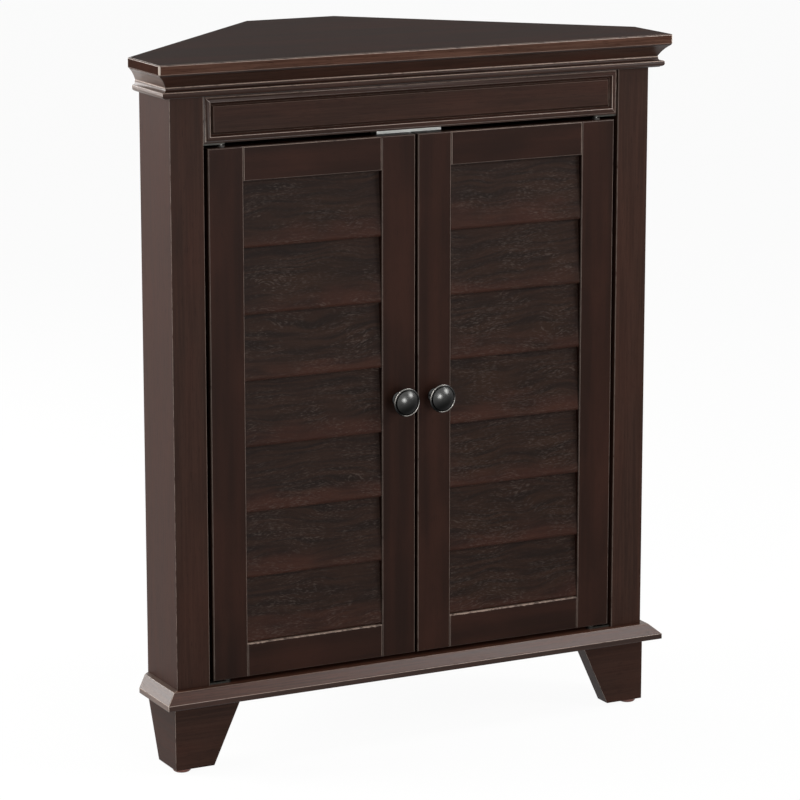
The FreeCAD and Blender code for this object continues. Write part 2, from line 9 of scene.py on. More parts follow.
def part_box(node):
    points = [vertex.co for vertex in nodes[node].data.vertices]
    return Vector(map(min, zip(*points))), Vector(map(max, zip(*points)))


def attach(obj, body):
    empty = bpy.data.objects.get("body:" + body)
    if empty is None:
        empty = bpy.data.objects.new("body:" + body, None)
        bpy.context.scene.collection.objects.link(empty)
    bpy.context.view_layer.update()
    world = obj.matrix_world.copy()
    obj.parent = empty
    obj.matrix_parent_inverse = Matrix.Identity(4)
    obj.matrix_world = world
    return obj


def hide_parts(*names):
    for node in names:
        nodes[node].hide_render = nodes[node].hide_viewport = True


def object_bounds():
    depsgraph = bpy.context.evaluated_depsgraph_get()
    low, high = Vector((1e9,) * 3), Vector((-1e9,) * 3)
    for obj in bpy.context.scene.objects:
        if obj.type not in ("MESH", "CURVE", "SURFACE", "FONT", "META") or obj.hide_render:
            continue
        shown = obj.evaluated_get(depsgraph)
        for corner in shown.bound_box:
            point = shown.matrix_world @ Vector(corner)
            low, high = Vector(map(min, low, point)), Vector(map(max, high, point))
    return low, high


bl_info = {
    "name": "Corner Cabinet",
    "version": (1, 0, 0),
    "blender": (4, 5, 0),
    "location": "View3D > Sidebar > Cabinet",
    "description": "Finishes, fittings and studio of a corner cabinet with two slatted doors",
    "category": "Object",
}

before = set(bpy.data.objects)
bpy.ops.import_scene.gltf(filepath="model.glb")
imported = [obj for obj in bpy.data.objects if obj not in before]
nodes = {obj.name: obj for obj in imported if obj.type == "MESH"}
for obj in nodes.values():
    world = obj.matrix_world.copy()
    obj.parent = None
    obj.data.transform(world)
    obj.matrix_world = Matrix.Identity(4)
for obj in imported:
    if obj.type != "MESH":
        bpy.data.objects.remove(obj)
cad_low, cad_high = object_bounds()

MM = 0.001
AXES = "XYZ"
SIDES = ("left", "right")
FRONT = Vector((0, -1, 0))
BACK = Vector((0, 1, 0))
UP = Vector((0, 0, 1))
DOWN = Vector((0, 0, -1))


def linear(hex_colour):
    """A colour written as sRGB hex, as the linear values that shaders use."""
    channels = [int(hex_colour[start:start + 2], 16) / 255 for start in (1, 3, 5)]
    curved = [c / 12.92 if c <= 0.04045 else ((c + 0.055) / 1.055) ** 2.4 for c in channels]
    return (*curved, 1.0)


def colour_property(label, text, hex_colour):
    return FloatVectorProperty(
        name=label, description=text, subtype="COLOR", size=4, min=0, max=1, default=linear(hex_colour)
    )


def length_property(label, text, millimetres):
    return FloatProperty(name=label, description=text, unit="LENGTH", min=0, default=millimetres * MM)


class CabinetFinish(bpy.types.PropertyGroup):
    """Colours and small sizes of the wood's finish."""

    # Also the painted shade on arrises that face down or sit under the top board.
    stain_deep: colour_property("Deep stain", "Stain where it gathers in the grain", "#180d09")
    stain_mid: colour_property("Stain", "Stain on posts, frieze, mouldings and feet", "#2b1c16")
    stain_warm: colour_property("Warm stain", "Redder stain where less of it took", "#3a2119")
    door_stain: colour_property("Door stain", "Deeper stain on the door frames", "#1c0f0a")
    # Lighter than the posts, partly as painted light from the side.
    side_stain: colour_property("Side stain", "Lighter stain on the sides", "#35231d")
    # Painted light: the base moulding is lighter where it faces up or sideways, as light from above and the
    # side falls on it.
    base_stain: colour_property("Base stain", "Lighter stain on the base moulding", "#442a20")
    top_stain: colour_property("Top stain", "Greyer stain on the flat of the top", "#29211e")
    edge_stain: colour_property("Edge stain", "Lighter stain on the edges of the top", "#4a352c")
    # A painted highlight: lighter colour on the returns and on the beads' sideways faces, where side light
    # catches them.
    end_stain: colour_property("Return stain", "Lightest stain, on short returns and upright beads", "#58463c")
    slat_deep: colour_property("Deep slat stain", "Stain in the open grain of the slats", "#150d0a")
    slat_mid: colour_property("Slat stain", "Stain on the slats", "#231610")
    slat_warm: colour_property("Slat edge stain", "Redder stain along the lower edge of a slat", "#3b2018")
    # Partly grey dust in the open grain, partly a painted sheen on its ridges.
    pore_dust: colour_property("Open grain", "Greyish sheen on the ridges of open grain", "#5f544e")
    # Partly rub-through wear, partly a painted highlight where the eased arrises catch the light.
    bare_arris: colour_property("Rubbed arris", "Paler wood where an arris is rubbed through", "#9b877a")
    # Partly wear, partly a painted highlight on corners that face forwards and sideways.
    bare_corner: colour_property("Rubbed corner", "Palest wood, on upright and mitred corners", "#b3a69c")
    inside_stain: colour_property("Inside stain", "Thin stain on the boards inside and behind", "#2d1d17")
    bare_wood: colour_property("Bare wood", "Unfinished blocks and battens", "#a5835c")
    arris: length_property("Arris", "Width of the eased arrises", 0.36)
    wide_arris: length_property("Wide arris", "Width of the arrises of the crown and the base", 0.52)
    # Depth of the pale band below the bottom rails' top edge: partly wear, partly a painted highlight.
    worn_depth: length_property("Worn depth", "How far bottom rails are rubbed below their top edge", 2.8)


class CabinetFittings(bpy.types.PropertyGroup):
    """Sizes and colours of the knobs, hinges, catch and glides."""

    knob_metal: colour_property("Knob metal", "Satin dark bronze of the knobs", "#474746")
    # Painted highlight: brighter metal on two opposite arcs of each knob's ring.
    ring_metal: colour_property("Rubbed ring", "Brighter metal where a knob's ring is rubbed", "#7d7a76")
    plate_metal: colour_property("Steel", "Zinc plated steel of strikes, pins and screws", "#8b8a87")
    hinge_metal: colour_property("Hinge plates", "Dark zinc plating of the hinge plates", "#3a3936")
    # Darker than plain steel, as painted shade of the narrow gaps that the plates sit in.
    catch_metal: colour_property("Aluminium", "Satin aluminium of the magnetic catch", "#c8c9c6")
    bush_nylon: colour_property("Bushes", "Dark nylon of the hinge bushes", "#2f2b28")
    glide_plastic: colour_property("Glides", "Brown plastic of the glides", "#6b4238")
    groove_depth: length_property("Knob groove", "Depth of the groove inside a knob's ring", 1.5)
    knob_steps: IntProperty(name="Knob steps", description="Facets round a knob", min=16, default=96)
    pin_diameter: length_property("Pins", "Diameter of the hinge pins", 4.0)
    screw_diameter: length_property("Screw head", "Diameter of the small screw heads", 5.2)
    screw_height: length_property("Screw height", "Height of the small screw heads", 0.8)
    plate_thickness: length_property("Hinge plate", "Thickness of the hinge plates", 2.2)
    near_screw: length_property("Near hinge screw", "From a pivot to the near screw in its plate", 9.5)
    far_screw: length_property("Far hinge screw", "From a pivot to the far screw in its plate", 20)
    catch_screw: length_property("Catch screw", "From the catch's middle to a screw", 8)
    knob_screw_head: length_property("Knob screw head", "Height of the heads of the knobs' screws", 2.6)
    knob_screw_shank: length_property("Knob screw shank", "Diameter of the knobs' screws", 4.0)


class CabinetStudio(bpy.types.PropertyGroup):
    """Camera and light."""

    azimuth: FloatProperty(
        name="Azimuth",
        description="Camera's turn round the object",
        subtype="ANGLE",
        default=math.radians(-27.21),
    )
    elevation: FloatProperty(
        name="Elevation",
        description="Camera's angle above the horizon",
        subtype="ANGLE",
        default=math.radians(12.454),
    )
    distance: FloatProperty(name="Distance", description="Camera to target", unit="LENGTH", default=4.7412)
    target: FloatVectorProperty(
        name="Target",
        description="What the camera looks at",
        subtype="TRANSLATION",
        default=(0.03, -0.0666, 0.4329),
    )
    lens: FloatProperty(name="Lens", description="Focal length in millimetres", default=160.875)
    ambient: FloatProperty(name="Ambient", description="Strength of light all round", min=0, default=0.25)
    floor_share: FloatProperty(
        name="Floor white",
        description="Share of the floor's look that is plain white",
        min=0,
        max=1,
        default=0.95,
    )


# Shader building

def put(tree, kind, inputs=None, **settings):
    """Adds a shader node with its settings, and sets its inputs or links them. A node given as an input
    is linked by its first output."""
    node = tree.nodes.new("ShaderNode" + kind)
    for name, value in settings.items():
        setattr(node, name, value)
    for key, value in (inputs or {}).items():
        source = value.outputs[0] if isinstance(value, bpy.types.Node) else value
        if isinstance(source, bpy.types.NodeSocket):
            tree.links.new(source, node.inputs[key])
        else:
            node.inputs[key].default_value = source
    return node


def empty_tree(owner):
    """The node tree of a material or a world, with nothing in it."""
    owner.use_nodes = True
    owner.node_tree.nodes.clear()
    return owner.node_tree


def new_material(name):
    """A material, its tree, its Principled shader and the place on the object."""
    material = bpy.data.materials.new(name)
    tree = empty_tree(material)
    shader = put(tree, "BsdfPrincipled")
    put(tree, "OutputMaterial", {"Surface": shader})
    place = put(tree, "TexCoord").outputs["Object"]
    return material, tree, shader, place


def finish_surface(tree, shader, colour, roughness, height, depth, gloss):
    """Joins a colour, a roughness and a relief of a depth in millimetres to a shader, and sets its gloss."""
    tree.links.new(colour, shader.inputs["Base Color"])
    if isinstance(roughness, bpy.types.Node):
        tree.links.new(roughness.outputs[0], shader.inputs["Roughness"])
    else:
        shader.inputs["Roughness"].default_value = roughness
    if height:
        relief = put(tree, "Bump", {"Height": height, "Strength": 0.5, "Distance": depth * MM})
        tree.links.new(relief.outputs["Normal"], shader.inputs["Normal"])
    shader.inputs["Specular IOR Level"].default_value = gloss


def grain(tree, place, axis, width, length, detail=2.0):
    """Noise drawn out along an axis: width across it and length along it, in millimetres."""
    scale = [1 / (width * MM)] * 3
    scale[AXES.index(axis)] = 1 / (length * MM)
    stretched = put(tree, "Mapping", {"Vector": place, "Scale": scale})
    return put(tree, "TexNoise", {"Vector": stretched, "Scale": 1.0, "Detail": detail})


def coat(tree, under, over, pattern, low, high, most=1.0):
    """One colour laid over another where a pattern rises from low to high, at most to a share."""
    levels = {"Value": pattern, "From Min": low, "From Max": high, "To Max": most}
    share = put(tree, "MapRange", levels, interpolation_type="SMOOTHSTEP")
    return put(tree, "Mix", {0: share, 6: under, 7: over}, data_type="RGBA").outputs[2]


def from_axis(tree, place, point, across):
    """How a place lies from an axis through a point, or from that axis's twin on the object's other side.
    The directions across the axis are 1 and the one along it is 0."""
    parts = put(tree, "SeparateXYZ", {0: place})
    side = put(tree, "Math", {0: parts}, operation="SIGN")
    x = put(tree, "Math", {0: side, 1: point.x}, operation="MULTIPLY")
    nearest = put(tree, "CombineXYZ", {0: x, 1: point.y, 2: point.z})
    away = put(tree, "VectorMath", {0: place, 1: nearest}, operation="SUBTRACT")
    return put(tree, "VectorMath", {0: away, 1: across}, operation="MULTIPLY")


# Materials

def stained_hardwood(
    name, axis, finish, stain, gloss=0.06, rough=0.42, relief=0.08, rubbed=0.0, corner=0.0, edges=None,
    wear_and_highlight_level=None, painted_shade_level=None,
):
    """Straight-grained hardwood, wiped with dark stain under satin lacquer: fine streaks and short pores
    along the grain, and warmer clouds where less stain took. Edges are two other colours, for what faces
    neither up nor sideways and for the ends; for some groups they are lighter, as painted light, on faces
    turned to the lamps. A rubbed arris shows paler wood, partly wear and partly a painted highlight, with
    painted shade where it faces down and above a level where it is tucked under another board, and a share
    more of painted highlight and wear at a corner that faces both forwards and sideways. A worn level is a
    top edge that is rubbed unevenly down its face, partly wear and partly a painted highlight."""
    material, tree, shader, place = new_material(name)
    streaks = grain(tree, place, axis, 2.4, 95, 4.0)
    bands = grain(tree, place, axis, 22, 420)
    clouds = grain(tree, place, axis, 60, 150, 3.0)
    pores = grain(tree, place, axis, 0.9, 16, 1.0)
    if edges or rubbed:
        facing = put(tree, "SeparateXYZ", {0: put(tree, "NewGeometry").outputs["True Normal"]})
        sideways = put(tree, "Math", {0: facing}, operation="ABSOLUTE")
        patches = put(tree, "TexNoise", {"Vector": place, "Scale": 1 / (11 * MM), "Detail": 4.0})
    if wear_and_highlight_level or painted_shade_level:
        level = put(tree, "SeparateXYZ", {0: place}).outputs[2]
    if edges:
        front_edge, end = edges
        stain = coat(tree, front_edge, stain, facing.outputs[2], 0.1, 0.4)
        stain = coat(tree, stain, end, sideways, 0.8, 0.95)
    colour = coat(tree, stain, finish.stain_deep, streaks, 0.36, 0.64, 0.45)
    colour = coat(tree, colour, finish.stain_warm, bands, 0.35, 0.65, 0.2)
    colour = coat(tree, colour, finish.stain_warm, clouds, 0.42, 0.68, 0.2)
    colour = coat(tree, colour, finish.stain_deep, pores, 0.60, 0.70, 0.5)
    if rubbed:
        # Paler arris colour: partly wear, partly a painted highlight.
        colour = coat(tree, colour, finish.bare_arris, patches, 0.15, 0.5, rubbed)
    if corner:
        # Painted highlight, with some wear, on corners that face both forwards and sideways.
        turned_out = put(tree, "Math", {0: sideways, 1: facing.outputs[1]}, operation="MULTIPLY")
        ragged = put(tree, "Math", {0: turned_out, 1: patches}, operation="MULTIPLY")
        colour = coat(tree, colour, finish.bare_corner, ragged, -0.11, -0.19, corner)
    if rubbed:
        # Painted shade: where an arris faces down it keeps the deep stain and none of the paler colour.
        colour = coat(tree, finish.stain_deep, colour, facing.outputs[2], -0.4, -0.05)
    if painted_shade_level:
        # Painted shade under the board above: deep stain above this level.
        colour = coat(tree, colour, finish.stain_deep, level, painted_shade_level - 2 * MM, painted_shade_level - MM)
    if wear_and_highlight_level:
        # A pale band down from the top edge: partly wear, partly a painted highlight where that edge catches
        # the light.
        depth = finish.worn_depth
        # The scuffs move the lower end of the wear up and down by about 0.4 of its depth.
        below = put(tree, "Math", {0: wear_and_highlight_level, 1: level}, operation="SUBTRACT")
        scuffs = put(tree, "TexNoise", {"Vector": place, "Scale": 1 / (6 * MM), "Detail": 3.0})
        ragged = put(tree, "Math", {0: scuffs, 1: 2.5 * depth, 2: below}, operation="MULTIPLY_ADD")
        colour = coat(tree, colour, finish.bare_arris, ragged, 1.9 * depth, 1.2 * depth, 0.6)
    height = put(tree, "Math", {0: streaks, 1: pores}, operation="SUBTRACT")
    levels = {"Value": streaks, "From Min": 0.36, "From Max": 0.64, "To Min": rough + 0.045, "To Max": rough}
    finish_surface(tree, shader, colour, put(tree, "MapRange", levels), height, relief, gloss)
    return material


def open_grained_slat(name, finish):
    """Open-grained hardwood, stained nearly black: short curled ridges with grey dust in the open grain and a
    painted grey sheen on them, each slat its own board, and a lower edge where the stain is thin and reddish.
    The ridges are drawn about twice as wide as real ones, which are too fine to show."""
    material, tree, shader, place = new_material(name)
    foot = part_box("left_door_slat_1")[0].z
    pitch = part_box("left_door_slat_2")[0].z - foot
    parts = put(tree, "SeparateXYZ", {0: place})
    lifted = put(tree, "Math", {0: parts.outputs[2], 1: foot}, operation="SUBTRACT")
    steps = put(tree, "Math", {0: lifted, 1: pitch}, operation="DIVIDE")
    number = put(tree, "Math", {0: steps}, operation="FLOOR")
    rise = put(tree, "Math", {0: steps}, operation="FRACT")
    door = put(tree, "Math", {0: parts, 1: 0.0}, operation="GREATER_THAN")
    board = put(tree, "CombineXYZ", {0: number, 1: door, 2: 0.5})
    chance = put(tree, "TexWhiteNoise", {"Vector": board}, noise_dimensions="3D").outputs["Color"]
    shift = put(tree, "VectorMath", {0: chance, 3: 3.0}, operation="SCALE")
    moved = put(tree, "VectorMath", {0: place, 1: shift}, operation="ADD")

    swirl = grain(tree, moved, "X", 60, 130)
    bend = {"Value": swirl, "From Min": 0.3, "From Max": 0.7, "To Min": -10 * MM, "To Max": 10 * MM}
    lift = put(tree, "CombineXYZ", {2: put(tree, "MapRange", bend)})
    curled = put(tree, "VectorMath", {0: moved, 1: lift}, operation="ADD")
    ridges = grain(tree, curled, "X", 0.8, 6, 2.0)
    figure = grain(tree, curled, "X", 5, 90, 3.0)
    zones = grain(tree, moved, "X", 24, 50)

    levels = {"Value": ridges, "From Min": 0.48, "From Max": 0.7}
    glint = put(tree, "MapRange", levels, interpolation_type="SMOOTHSTEP")
    levels = {"Value": zones, "From Min": 0.36, "From Max": 0.64, "To Min": 0.3}
    open_zone = put(tree, "MapRange", levels, interpolation_type="SMOOTHSTEP")
    shine = put(tree, "Math", {0: glint, 1: open_zone}, operation="MULTIPLY")

    colour = coat(tree, finish.slat_mid, finish.slat_deep, figure, 0.3, 0.7)
    thin = grain(tree, moved, "X", 30, 90)
    uneven = put(tree, "Math", {0: thin, 1: 0.9, 2: rise}, operation="MULTIPLY_ADD")
    colour = coat(tree, colour, finish.slat_warm, uneven, 0.85, 0.4, 0.42)
    # Grey dust and a painted sheen on the ridges of the open grain.
    colour = coat(tree, colour, finish.pore_dust, shine, 0.0, 1.0, 0.22)
    levels = {"Value": shine, "To Min": 0.5, "To Max": 0.4}
    finish_surface(tree, shader, colour, put(tree, "MapRange", levels), ridges, 0.15, 0.06)
    return material


def thin_stained_board(name, axis, finish):
    """Plywood and fibreboard inside, with one thin matt coat of stain: dull, with a faint long grain."""
    material, tree, shader, place = new_material(name)
    streaks = grain(tree, place, axis, 4, 150, 4.0)
    clouds = grain(tree, place, axis, 90, 220, 3.0)
    colour = coat(tree, finish.inside_stain, finish.stain_deep, streaks, 0.36, 0.64, 0.5)
    colour = coat(tree, colour, finish.stain_warm, clouds, 0.35, 0.7, 0.2)
    levels = {"Value": streaks, "From Min": 0.36, "From Max": 0.64, "To Min": 0.72, "To Max": 0.67}
    finish_surface(tree, shader, colour, put(tree, "MapRange", levels), streaks, 0.1, 0.2)
    return material


def sawn_bare_wood(name, axis, finish):
    """Bare sawn poplar, as blocks and battens are: pale, dry and matt, with saw-rough grain."""
    material, tree, shader, place = new_material(name)
    streaks = grain(tree, place, axis, 1.8, 60, 4.0)
    darker = put(tree, "HueSaturation", {"Value": 0.62, "Saturation": 1.1, "Color": finish.bare_wood})
    colour = coat(tree, finish.bare_wood, darker.outputs[0], streaks, 0.34, 0.66, 0.7)
    finish_surface(tree, shader, colour, 0.85, streaks, 0.25, 0.3)
    return material


def satin_dark_bronze(name, fittings):
    """Zinc casting with a satin oil-rubbed bronze finish: nearly black, with small soft round lights. The
    lower part of the face is darkened with painted shade, and the raised ring has a painted highlight on two
    opposite arcs. The highlight axis is the direction across the knob of these arcs, and shade the one that
    the painted shade darkens towards."""
    material, tree, shader, place = new_material(name)
    low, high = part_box("right_door_knob")
    middle, radius, reach = (low + high) / 2, (high.x - low.x) / 2, high.y - low.y
    highlight_axis, shade = (-0.64, 0.0, 0.77), (0.35, 0.0, -0.94)
    spoke = from_axis(tree, place, middle, (1, 0, 1))
    distance = put(tree, "VectorMath", {0: spoke}, operation="LENGTH").outputs["Value"]
    heading = put(tree, "VectorMath", {0: spoke}, operation="NORMALIZE")
    along = put(tree, "VectorMath", {0: heading, 1: highlight_axis}, operation="DOT_PRODUCT").outputs["Value"]
    lower = put(tree, "VectorMath", {0: spoke, 1: shade}, operation="DOT_PRODUCT").outputs["Value"]
    highlit_arcs = put(tree, "Math", {0: along}, operation="ABSOLUTE")
    level = put(tree, "SeparateXYZ", {0: place}).outputs[1]
    mottle = put(tree, "TexNoise", {"Vector": place, "Scale": 1 / (3.5 * MM), "Detail": 3.0})
    brown = put(tree, "HueSaturation", {"Value": 1.35, "Color": fittings.knob_metal}).outputs[0]
    painted_shade_metal = put(tree, "HueSaturation", {"Value": 0.12, "Color": fittings.knob_metal}).outputs[0]
    colour = coat(tree, fittings.knob_metal, brown, mottle, 0.45, 0.7, 0.35)
    # Painted shade: the face darkens towards its lower part.
    colour = coat(tree, colour, painted_shade_metal, lower, -0.7 * radius, 0.5 * radius)
    # Painted highlight on the ring's two opposite arcs.
    rubbed = coat(tree, colour, fittings.ring_metal, highlit_arcs, 0.45, 0.85)
    rubbed = coat(tree, colour, rubbed, level, high.y - 0.70 * reach, high.y - 0.76 * reach)
    colour = coat(tree, colour, rubbed, distance, 0.88 * radius, 0.91 * radius)
    levels = {"Value": mottle, "From Min": 0.3, "From Max": 0.7, "To Min": 0.24, "To Max": 0.28}
    finish_surface(tree, shader, colour, put(tree, "MapRange", levels), None, 0, 0.5)
    shader.inputs["Metallic"].default_value = 1.0
    return material


def plated_metal(name, base, roughness, axis, pin=None, pin_metal=None, pin_radius=0):
    """Plated or anodised metal with a fine brushed finish: light slides along the brushing. The brushing
    is drawn coarser than the real one, to show. A pin in a plate is turned bright."""
    material, tree, shader, place = new_material(name)
    brushing = grain(tree, place, axis, 0.35, 18, 2.0)
    darker = put(tree, "HueSaturation", {"Value": 0.72, "Color": base}).outputs[0]
    colour = coat(tree, base, darker, brushing, 0.35, 0.65)
    if pin:
        distance = put(tree, "VectorMath", {0: from_axis(tree, place, pin, (1, 1, 0))}, operation="LENGTH")
        colour = coat(tree, pin_metal, colour, distance.outputs["Value"], pin_radius, 1.2 * pin_radius)
    rougher = roughness + 0.14
    levels = {"Value": brushing, "From Min": 0.3, "From Max": 0.7, "To Min": roughness, "To Max": rougher}
    finish_surface(tree, shader, colour, put(tree, "MapRange", levels), None, 0, 0.5)
    shader.inputs["Metallic"].default_value = 1.0
    return material


def moulded_plastic(name, base, roughness):
    """Injection-moulded plastic: one colour, a fine moulded texture and a soft low sheen. The texture is
    drawn several times coarser than the real one, to show."""
    material, tree, shader, place = new_material(name)
    texture = put(tree, "TexNoise", {"Vector": place, "Scale": 1 / (0.8 * MM)})
    darker = put(tree, "HueSaturation", {"Value": 0.8, "Color": base}).outputs[0]
    colour = coat(tree, base, darker, texture, 0.35, 0.65)
    finish_surface(tree, shader, colour, roughness, texture, 0.05, 0.3)
    return material


# Pieces

def as_mesh(name, bm):
    """A mesh of a bmesh, which is freed."""
    mesh = bpy.data.meshes.new(name)
    bm.to_mesh(mesh)
    bm.free()
    return mesh


def add_object(name, data):
    """An object in the scene, of a mesh, a light or a camera."""
    added = bpy.data.objects.new(name, data)
    bpy.context.scene.collection.objects.link(added)
    return added


def give(names, materials):
    """Gives named nodes these materials, in place of those that they came with."""
    for name in names:
        nodes[name].data.materials.clear()
        for material in materials:
            nodes[name].data.materials.append(material)


def grain_axis(name):
    """A board's grain runs along its longest side."""
    low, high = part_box(name)
    spans = list(high - low)
    return AXES[spans.index(max(spans))]


def dress(names, make):
    """Gives each named node materials for its grain direction: one for its faces, and a second one,
    where there is one, for its arrises."""
    made = {}
    for name in names:
        axis = grain_axis(name)
        if axis not in made:
            made[axis] = make(axis)
        give([name], made[axis])


def ease_arrises(names, width):
    """Small rounded arrises on every sharp edge."""
    for name in names:
        weld = nodes[name].modifiers.new("seams", "WELD")
        weld.merge_threshold = 0.001 * MM
        flat = nodes[name].modifiers.new("flat_faces", "DECIMATE")
        flat.decimate_type = "DISSOLVE"
        flat.angle_limit = math.radians(0.5)
        bevel = nodes[name].modifiers.new("arrises", "BEVEL")
        bevel.width = width
        bevel.segments = 2
        bevel.limit_method = "ANGLE"
        bevel.angle_limit = math.radians(32)
        bevel.use_clamp_overlap = False
        bevel.material = len(nodes[name].data.materials) - 1


def stain_boards(label, names, finish, look, rubbed, gloss, corner, width):
    """Stains a group of boards, and their arrises with a width, a gloss, a rub and a share of bare corner."""
    def woods(axis):
        name = label + "_stained_hardwood_along_" + axis.lower()
        arris_look = {**look, "rubbed": rubbed, "gloss": gloss, "corner": corner}
        return [
            stained_hardwood(name, axis, finish, **look),
            stained_hardwood(name + "_arris", axis, finish, **arris_look),
        ]

    dress(names, woods)
    ease_arrises(names, width)


def of_slot(slot):
    """Nodes that take their finish from a slot of the record."""
    return [name for name in sorted(nodes) if nodes[name].material_slots[0].material.name == slot]


def new_piece(name, bm, body, material):
    """Turns a bmesh into a piece that rides on a body and takes its finish from a slot."""
    bmesh.ops.recalc_face_normals(bm, faces=bm.faces)
    mesh = as_mesh(name, bm)
    mesh.shade_smooth()
    mesh.set_sharp_from_angle(angle=math.radians(35))
    mesh.materials.append(material)
    piece = add_object(name, mesh)
    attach(piece, body)
    return piece


def turned(points, steps):
    """A turned solid: an outline of radius and height, spun round Z."""
    bm = bmesh.new()
    corners = [bm.verts.new((radius, 0, height)) for radius, height in points]
    edges = [bm.edges.new(pair) for pair in zip(corners, corners[1:])]
    bmesh.ops.spin(
        bm, geom=corners + edges, cent=(0, 0, 0), axis=UP, angle=math.tau, steps=steps, use_merge=True
    )
    bmesh.ops.remove_doubles(bm, verts=bm.verts, dist=0.001 * MM)
    return bm


def point_along(bm, direction, place):
    """Turns a shape made round Z to a direction, and moves it to its place."""
    turn = UP.rotation_difference(direction).to_matrix().to_4x4()
    bmesh.ops.transform(bm, matrix=Matrix.Translation(place) @ turn, verts=bm.verts)


def knob_outline(radius, depth, groove):
    """A mushroom knob from its seat to the middle of its face: a foot, a waisted neck, a flared back,
    a raised ring, a groove inside it and a domed face."""
    foot_and_neck = [(0, 0), (0.51, 0), (0.51, 0.05), (0.46, 0.075), (0.37, 0.15), (0.32, 0.28)]
    flare = [(0.33, 0.4), (0.42, 0.49), (0.66, 0.58), (0.9, 0.66)]
    back = [(out * radius, up * depth) for out, up in foot_and_neck + flare]
    ring_top = 0.81 * depth
    bead = 0.05 * radius
    ring = []
    for step in range(13):
        angle = math.radians(-50 + 20 * step)
        ring.append((radius - bead + bead * math.cos(angle), ring_top - bead + bead * math.sin(angle)))
    floor_level = ring_top - groove
    dome_radius = 0.81 * radius
    rise = 0.15 * depth
    ball = (dome_radius ** 2 + rise ** 2) / (2 * rise)
    reach = math.asin(dome_radius / ball)
    dome_steps = 18
    dome = []
    for step in range(dome_steps):
        angle = reach * (1 - step / dome_steps)
        dome.append((ball * math.sin(angle), depth - ball * (1 - math.cos(angle))))
    dome.append((0, depth))
    wall = [
        (0.885 * radius, floor_level),
        (0.85 * radius, floor_level),
        (0.84 * radius, 0.79 * depth),
        (0.83 * radius, 0.82 * depth),
    ]
    return back + ring + wall + dome


def make_knobs(fittings):
    """Both knobs, finer than the nodes that they stand for."""
    metal = satin_dark_bronze("satin_dark_bronze", fittings)
    for side in SIDES:
        low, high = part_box(side + "_door_knob")
        middle = (low + high) / 2
        radius = (high.x - low.x) / 2
        bm = turned(knob_outline(radius, high.y - low.y, fittings.groove_depth), fittings.knob_steps)
        point_along(bm, FRONT, Vector((middle.x, high.y, middle.z)))
        piece = new_piece(side + "_door_turned_knob", bm, side + "_door", metal)
        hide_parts(side + "_door_knob")


def cross_head(diameter, height):
    """A low domed screw head with a cross recess, standing on the level where Z is nothing. It is made with
    a radius and a height of 1, and then scaled."""
    arm, arm_reach, recess, dome = 0.3, 0.62, 0.45, 0.5
    bm = bmesh.new()
    bmesh.ops.create_grid(bm, x_segments=8, y_segments=8, size=1)
    for vert in bm.verts:
        square = max(abs(vert.co.x), abs(vert.co.y))
        if square:
            vert.co *= square / vert.co.length
        vert.co.z = -dome * square ** 3
    slots = [
        face for face in bm.faces
        if min(abs(part) for part in face.calc_center_median().xy) < arm / 2
        and face.calc_center_median().xy.length < arm_reach
    ]
    cut = bmesh.ops.extrude_face_region(bm, geom=slots)
    floor = [part for part in cut["geom"] if isinstance(part, bmesh.types.BMVert)]
    bmesh.ops.delete(bm, geom=slots, context="FACES_KEEP_BOUNDARY")
    bmesh.ops.translate(bm, verts=floor, vec=DOWN * recess)
    rim = [edge for edge in bm.edges if edge.is_boundary]
    wall = bmesh.ops.extrude_edge_only(bm, edges=rim)
    foot = [part for part in wall["geom"] if isinstance(part, bmesh.types.BMVert)]
    for vert in foot:
        vert.co.z = -1
    bmesh.ops.holes_fill(bm, edges=[edge for edge in bm.edges if edge.is_boundary], sides=0)
    bmesh.ops.scale(bm, verts=bm.verts, vec=(diameter / 2, diameter / 2, height))
    bmesh.ops.translate(bm, verts=bm.verts, vec=UP * height)
    return bm


def gather(whole, bm):
    """Adds one bmesh to another."""
    part = as_mesh("part", bm)
    whole.from_mesh(part)
    bpy.data.meshes.remove(part)


def screw_group(name, places, direction, body, fittings, metal):
    """Several small screw heads of one kind, as one piece."""
    whole = bmesh.new()
    for place in places:
        bm = cross_head(fittings.screw_diameter, fittings.screw_height)
        point_along(bm, direction, place)
        gather(whole, bm)
    return new_piece(name, whole, body, metal)


def make_knob_screws(fittings, steel):
    """The machine screws that hold the knobs, through the stiles from behind."""
    for side in SIDES:
        node = side + "_door_knob_screw"
        low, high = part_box(node)
        middle = (low + high) / 2
        head = fittings.knob_screw_head
        bm = cross_head(high.x - low.x, head)
        length = high.y - low.y - 0.5 * head
        shank = fittings.knob_screw_shank / 2
        stem = bmesh.new()
        bmesh.ops.create_cone(stem, cap_ends=True, segments=20, radius1=shank, radius2=shank, depth=length)
        bmesh.ops.translate(stem, verts=stem.verts, vec=UP * (0.5 * head - length / 2))
        gather(bm, stem)
        point_along(bm, BACK, Vector((middle.x, high.y - head, middle.z)))
        piece = new_piece(side + "_door_machine_screw", bm, side + "_door", steel)
        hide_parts(node)


def make_hinge_screws(fittings, metal, pivot):
    """Two screws in each hinge plate, between its pin and its outer end."""
    low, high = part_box("hinge_plates")
    plate = fittings.plate_thickness
    steps = (fittings.near_screw, fittings.far_screw)
    across = [way * (pivot.x + step) for way in (-1, 1) for step in steps]
    upper = [Vector((x, pivot.y, high.z - plate)) for x in across]
    lower = [Vector((x, pivot.y, low.z + plate)) for x in across]
    screw_group("hinge_screws_upper", upper, DOWN, "cabinet", fittings, metal)
    screw_group("hinge_screws_lower", lower, UP, "cabinet", fittings, metal)


